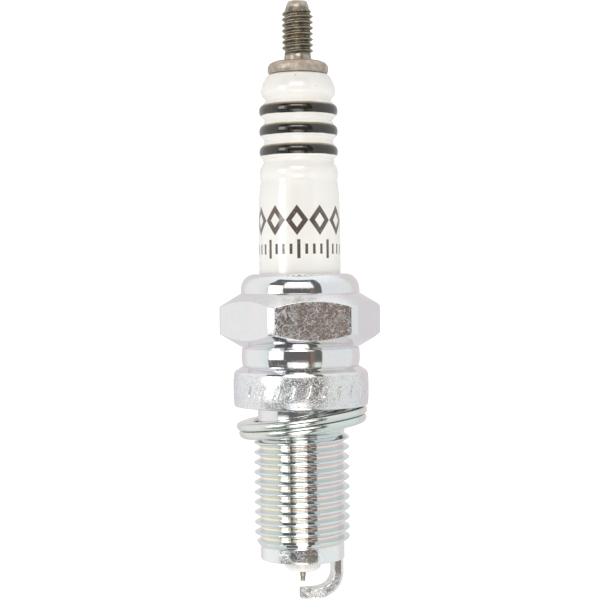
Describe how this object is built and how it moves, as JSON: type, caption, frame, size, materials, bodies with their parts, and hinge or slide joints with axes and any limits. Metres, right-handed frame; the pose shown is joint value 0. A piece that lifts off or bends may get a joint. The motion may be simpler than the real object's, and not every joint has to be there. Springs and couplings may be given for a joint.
{
  "type": "spark plug",
  "caption": "Long-reach resistor spark plug with a threaded terminal, ribbed white insulator, plated hex shell, loose crush gasket and a fine-wire tip over a bent ground strap.",
  "frame": {"origin": "on the plug's axis at the seat, the flat underside of the shell's collar that the gasket seals against", "axes": "+Z along the axis from the firing end to the terminal, +X towards the side where the gasket touches the seat, and the ground strap leaves 13 degrees from +X towards +Y"},
  "size_m": [0.0202, 0.0194, 0.0744],
  "materials": {
    "plated_steel": "bright zinc plate",
    "gasket_steel": "bright plated sheet",
    "nickel_alloy": "drawn nickel alloy",
    "terminal_steel": "dull turned steel",
    "white_glaze": "clear glaze over alumina",
    "glass_seal": "fused glass and metal powder",
    "resistor_ceramic": "fired carbon and glass mix",
    "copper": "extruded copper",
    "iridium": "fine wire",
    "talc": "pressed powder",
    "packing_steel": "bare wire and sheet"
  },
  "bodies": {
    "plug": {"shell": "plated_steel", "ground_electrode": "nickel_alloy", "insulator": "white_glaze", "terminal_stud": "terminal_steel", "upper_glass_seal": "glass_seal", "resistor": "resistor_ceramic", "lower_glass_seal": "glass_seal", "centre_electrode": "nickel_alloy", "copper_core": "copper", "iridium_tip": "iridium", "upper_packing_ring": "packing_steel", "talc_seal": "talc", "lower_packing_ring": "packing_steel", "seat_packing": "packing_steel"},
    "loose_gasket": {"gasket": "gasket_steel"}
  },
  "joints": [
    {"name": "gasket_tilt", "type": "hinge", "parent": "plug", "child": "loose_gasket", "pos_m": [0.00772, 0, -0.00053], "axis": [0, 1, 0], "range_deg": [0, 7.4]}
  ]
}
